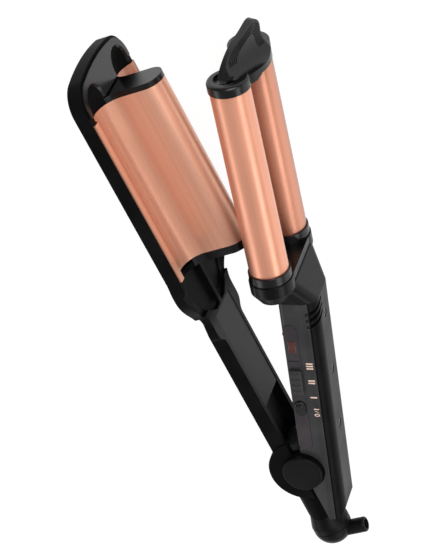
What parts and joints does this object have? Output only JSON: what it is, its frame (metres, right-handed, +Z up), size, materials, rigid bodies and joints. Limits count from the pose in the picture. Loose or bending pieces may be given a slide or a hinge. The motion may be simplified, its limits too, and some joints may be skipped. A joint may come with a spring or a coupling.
{
  "type": "hair waver",
  "caption": "Open two-arm hair waver: parallel heated barrels on a handle arm, an omega-shaped heated plate on a hinged clamp arm, with a slider, a button and a swivel cord inlet.",
  "frame": {"origin": "middle of the bounding box at its underside, with the waver lying on its side", "axes": "+X from the cord end to the tips along the barrels, +Y towards the hinged clamp arm, +Z up, along the pivot axis"},
  "size_m": [0.3519, 0.1078, 0.072],
  "materials": {
    "black_plastic": "satin black moulded plastic",
    "grey_plastic": "fine-grained dark grey plastic",
    "gloss_black": "polished black plastic",
    "dark_ring": "heat-resistant black plastic",
    "rose_metal": "smooth rose gold coating on metal",
    "bare_aluminium": "plain aluminium",
    "ceramic": "fired white ceramic or heat-resistant insulator",
    "amber_lens": "dark red translucent lens",
    "print_cream": "pale printed mark",
    "board_green": "coated circuit board",
    "steel": "plain steel"
  },
  "bodies": {
    "barrel_arm": {"handle_inner_shell": "black_plastic", "handle_outer_shell": "black_plastic", "handle_screws": "steel", "barrel_socket_collar": "black_plastic", "barrel_socket_rings": "dark_ring", "heating_barrel_near": "rose_metal", "heating_barrel_far": "rose_metal", "barrel_heater_bars": "ceramic", "barrel_heat_spreaders": "bare_aluminium", "barrel_tip_cap": "black_plastic", "control_strip": "gloss_black", "power_lens": "amber_lens", "heat_scale_marks": "print_cream", "circuit_board": "board_green", "slide_switch_body": "gloss_black", "power_switch_body": "gloss_black", "thermal_fuse": "bare_aluminium", "return_spring": "steel"},
    "clamp_arm": {"clamp_shell": "black_plastic", "lever_panel": "grey_plastic", "tip_liner": "grey_plastic", "wave_plate": "rose_metal", "ridge_tip_cap": "dark_ring", "ridge_base_cap": "dark_ring", "plate_carrier": "ceramic", "plate_heat_spreaders": "bare_aluminium", "plate_heater_bar": "ceramic", "plate_screws": "steel", "pivot_pin": "steel", "pivot_cap_near": "black_plastic", "pivot_cap_far": "black_plastic", "tail_collar": "black_plastic"},
    "cord_swivel": {"cord_swivel_cup": "black_plastic", "cord_gland": "black_plastic", "swivel_retainer": "steel"},
    "temperature_slider": {"heat_slider": "black_plastic"},
    "power_key": {"power_button": "black_plastic"}
  },
  "joints": [
    {"name": "clamp_hinge", "type": "hinge", "parent": "barrel_arm", "child": "clamp_arm", "pos_m": [-0.11026, -0.02584, 0.036], "axis": [0, 0, 1], "range_deg": [-15, 0], "stiffness_Nm_per_rad": 0.8, "springref_deg": 6.88},
    {"name": "cord_swivel_turn", "type": "hinge", "parent": "clamp_arm", "child": "cord_swivel", "pos_m": [-0.16434, -0.02997, 0.036], "axis": [0.9659, 0.2588, 0], "range_deg": [-170, 170]},
    {"name": "temperature_slide", "type": "slide", "parent": "barrel_arm", "child": "temperature_slider", "axis": [0.9979, -0.0645, 0], "range_m": [-0.0045, 0.0045]},
    {"name": "power_press", "type": "slide", "parent": "barrel_arm", "child": "power_key", "axis": [0, 0, 1], "range_m": [-0.0005, 0], "stiffness_N_per_m": 900, "springref_m": 0.0004}
  ]
}
